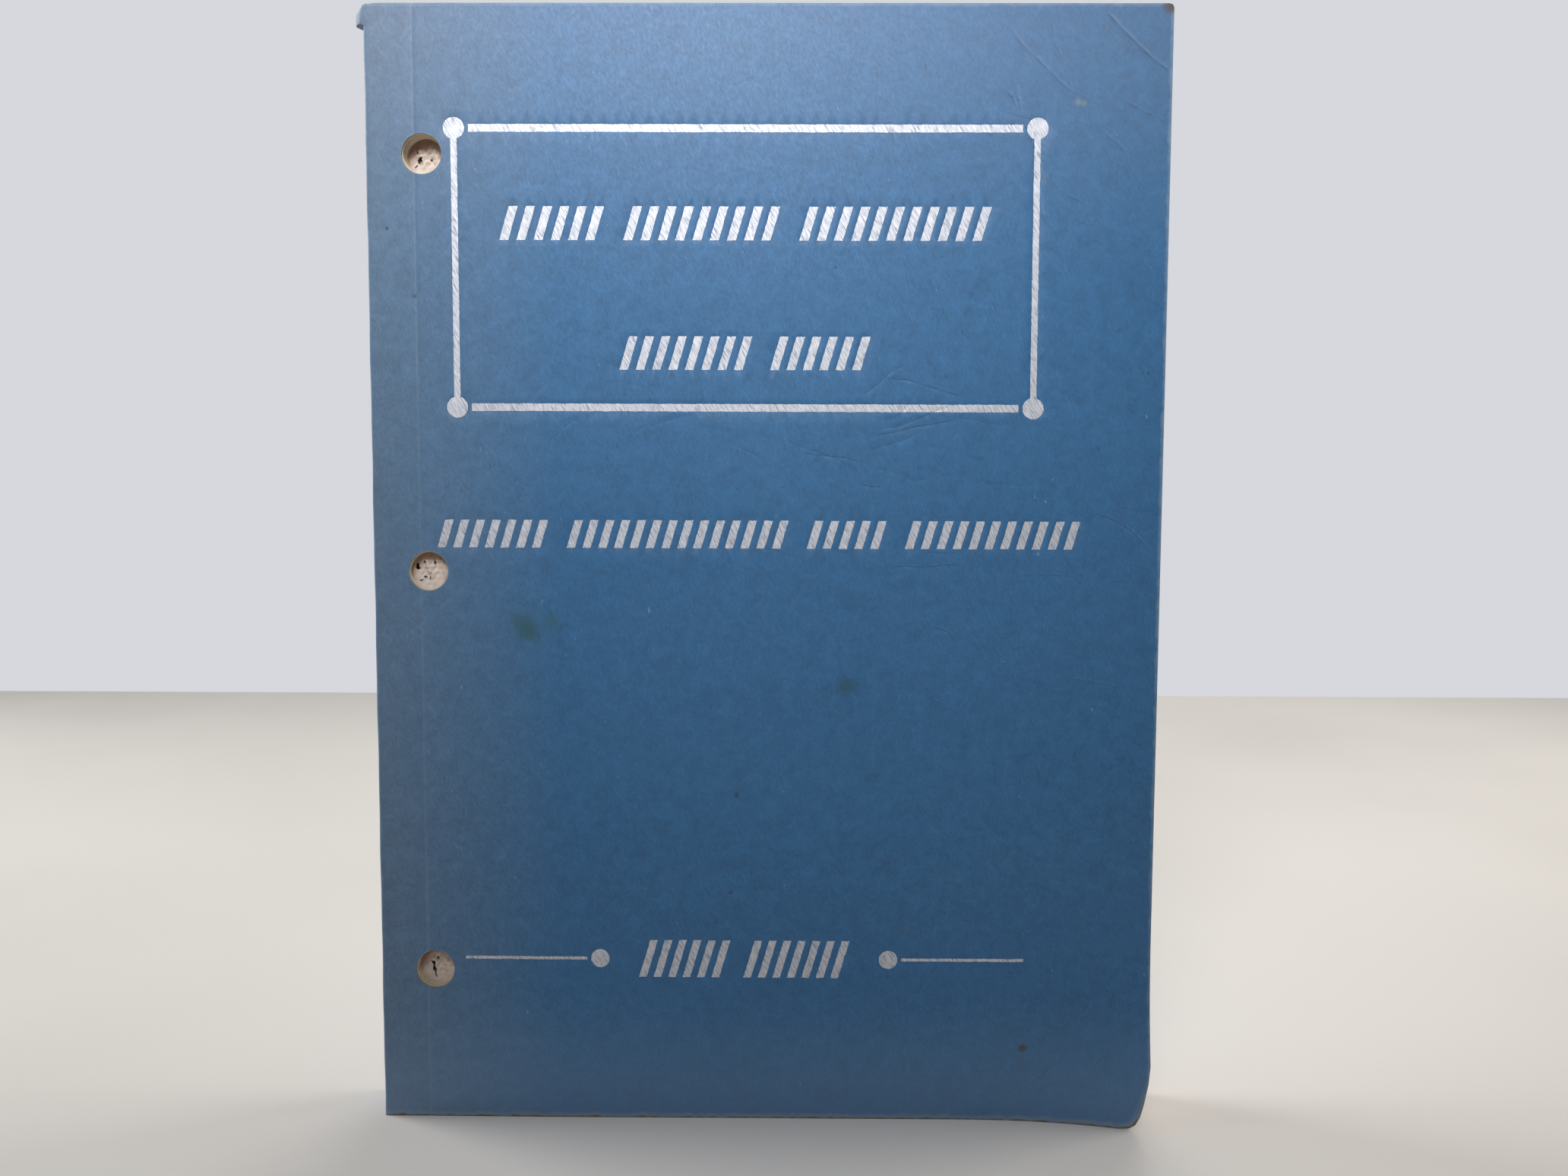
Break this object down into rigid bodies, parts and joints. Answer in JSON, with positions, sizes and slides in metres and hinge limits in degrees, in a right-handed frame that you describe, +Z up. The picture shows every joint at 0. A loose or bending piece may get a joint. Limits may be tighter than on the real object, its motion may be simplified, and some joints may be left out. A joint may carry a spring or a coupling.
{
  "type": "soft-cover manual",
  "caption": "Thick soft-cover manual with a glued square spine, scored card cover with plain foil ornament, and punched binder holes; covers and leaves turn.",
  "frame": {"origin": "middle of the tail edge, on the surface the book stands on", "axes": "+Z up the height, +X from spine to fore edge, front cover faces -Y"},
  "size_m": [0.1588, 0.012, 0.2254],
  "materials": {
    "cover_card": "embossed satin card",
    "pages": "uncoated, yellowed",
    "glue": "dried animal glue",
    "wire": "bright stitching wire",
    "foil": "stamped silver foil"
  },
  "bodies": {
    "bound_block": {"cover_spine": "cover_card", "spine_glue": "glue", "wire_stitch_upper": "wire", "wire_stitch_lower": "wire", "section_01_margin": "pages", "section_02_margin": "pages", "section_03_margin": "pages", "section_04_margin": "pages", "section_05_margin": "pages", "section_06_margin": "pages", "section_07_margin": "pages", "section_08_margin": "pages", "section_09_margin": "pages", "section_10_margin": "pages", "section_11_margin": "pages", "section_12_margin": "pages", "section_13_margin": "pages", "section_14_margin": "pages"},
    "front_cover": {"cover_front": "cover_card", "foil_frame": "foil", "foil_title": "foil", "foil_subtitle": "foil", "foil_foot": "foil"},
    "back_cover": {"cover_back": "cover_card"},
    "leaves_01": {"section_01_leaves": "pages"},
    "leaves_02": {"section_02_leaves": "pages"},
    "leaves_03": {"section_03_leaves": "pages"},
    "leaves_04": {"section_04_leaves": "pages"},
    "leaves_05": {"section_05_leaves": "pages"},
    "leaves_06": {"section_06_leaves": "pages"},
    "leaves_07": {"section_07_leaves": "pages"},
    "leaves_08": {"section_08_leaves": "pages"},
    "leaves_09": {"section_09_leaves": "pages"},
    "leaves_10": {"section_10_leaves": "pages"},
    "leaves_11": {"section_11_leaves": "pages"},
    "leaves_12": {"section_12_leaves": "pages"},
    "leaves_13": {"section_13_leaves": "pages"},
    "leaves_14": {"section_14_leaves": "pages"}
  },
  "joints": [
    {"name": "front_cover_turn", "type": "hinge", "parent": "bound_block", "child": "front_cover", "pos_m": [-0.06982, -0.00594, 0.1127], "axis": [0, 0, -1], "range_deg": [0, 170], "stiffness_Nm_per_rad": 0.004},
    {"name": "back_cover_turn", "type": "hinge", "parent": "bound_block", "child": "back_cover", "pos_m": [-0.06982, 0.00596, 0.1127], "axis": [0, 0, 1], "range_deg": [0, 170], "stiffness_Nm_per_rad": 0.004},
    {"name": "leaves_01_turn", "type": "hinge", "parent": "bound_block", "child": "leaves_01", "pos_m": [-0.06341, -0.00558, 0.1127], "axis": [0, 0, -1], "range_deg": [0, 94.5]},
    {"name": "leaves_02_turn", "type": "hinge", "parent": "bound_block", "child": "leaves_02", "pos_m": [-0.0626, -0.00479, 0.1127], "axis": [0, 0, -1], "range_deg": [0, 82.6]},
    {"name": "leaves_03_turn", "type": "hinge", "parent": "bound_block", "child": "leaves_03", "pos_m": [-0.0618, -0.00398, 0.1127], "axis": [0, 0, -1], "range_deg": [0, 70.7]},
    {"name": "leaves_04_turn", "type": "hinge", "parent": "bound_block", "child": "leaves_04", "pos_m": [-0.061, -0.00318, 0.1127], "axis": [0, 0, -1], "range_deg": [0, 58.8]},
    {"name": "leaves_05_turn", "type": "hinge", "parent": "bound_block", "child": "leaves_05", "pos_m": [-0.06021, -0.00238, 0.1127], "axis": [0, 0, -1], "range_deg": [0, 46.9]},
    {"name": "leaves_06_turn", "type": "hinge", "parent": "bound_block", "child": "leaves_06", "pos_m": [-0.0594, -0.00159, 0.1127], "axis": [0, 0, -1], "range_deg": [0, 35]},
    {"name": "leaves_07_turn", "type": "hinge", "parent": "bound_block", "child": "leaves_07", "pos_m": [-0.0586, -0.00078, 0.1127], "axis": [0, 0, -1], "range_deg": [0, 23.1]},
    {"name": "leaves_08_turn", "type": "hinge", "parent": "bound_block", "child": "leaves_08", "pos_m": [-0.0586, 0.00081, 0.1127], "axis": [0, 0, 1], "range_deg": [0, 23.1]},
    {"name": "leaves_09_turn", "type": "hinge", "parent": "bound_block", "child": "leaves_09", "pos_m": [-0.0594, 0.00161, 0.1127], "axis": [0, 0, 1], "range_deg": [0, 35]},
    {"name": "leaves_10_turn", "type": "hinge", "parent": "bound_block", "child": "leaves_10", "pos_m": [-0.06021, 0.00242, 0.1127], "axis": [0, 0, 1], "range_deg": [0, 46.9]},
    {"name": "leaves_11_turn", "type": "hinge", "parent": "bound_block", "child": "leaves_11", "pos_m": [-0.061, 0.00321, 0.1127], "axis": [0, 0, 1], "range_deg": [0, 58.8]},
    {"name": "leaves_12_turn", "type": "hinge", "parent": "bound_block", "child": "leaves_12", "pos_m": [-0.0618, 0.00402, 0.1127], "axis": [0, 0, 1], "range_deg": [0, 70.7]},
    {"name": "leaves_13_turn", "type": "hinge", "parent": "bound_block", "child": "leaves_13", "pos_m": [-0.0626, 0.00481, 0.1127], "axis": [0, 0, 1], "range_deg": [0, 82.6]},
    {"name": "leaves_14_turn", "type": "hinge", "parent": "bound_block", "child": "leaves_14", "pos_m": [-0.06341, 0.00562, 0.1127], "axis": [0, 0, 1], "range_deg": [0, 94.5]}
  ],
  "couplings": [
    {"joint": "leaves_01_turn", "follows": "front_cover_turn", "ratio": 0.55},
    {"joint": "leaves_02_turn", "follows": "front_cover_turn", "ratio": 0.48},
    {"joint": "leaves_03_turn", "follows": "front_cover_turn", "ratio": 0.41},
    {"joint": "leaves_04_turn", "follows": "front_cover_turn", "ratio": 0.34},
    {"joint": "leaves_05_turn", "follows": "front_cover_turn", "ratio": 0.27},
    {"joint": "leaves_06_turn", "follows": "front_cover_turn", "ratio": 0.2},
    {"joint": "leaves_07_turn", "follows": "front_cover_turn", "ratio": 0.13},
    {"joint": "leaves_08_turn", "follows": "back_cover_turn", "ratio": 0.13},
    {"joint": "leaves_09_turn", "follows": "back_cover_turn", "ratio": 0.2},
    {"joint": "leaves_10_turn", "follows": "back_cover_turn", "ratio": 0.27},
    {"joint": "leaves_11_turn", "follows": "back_cover_turn", "ratio": 0.34},
    {"joint": "leaves_12_turn", "follows": "back_cover_turn", "ratio": 0.41},
    {"joint": "leaves_13_turn", "follows": "back_cover_turn", "ratio": 0.48},
    {"joint": "leaves_14_turn", "follows": "back_cover_turn", "ratio": 0.55}
  ]
}
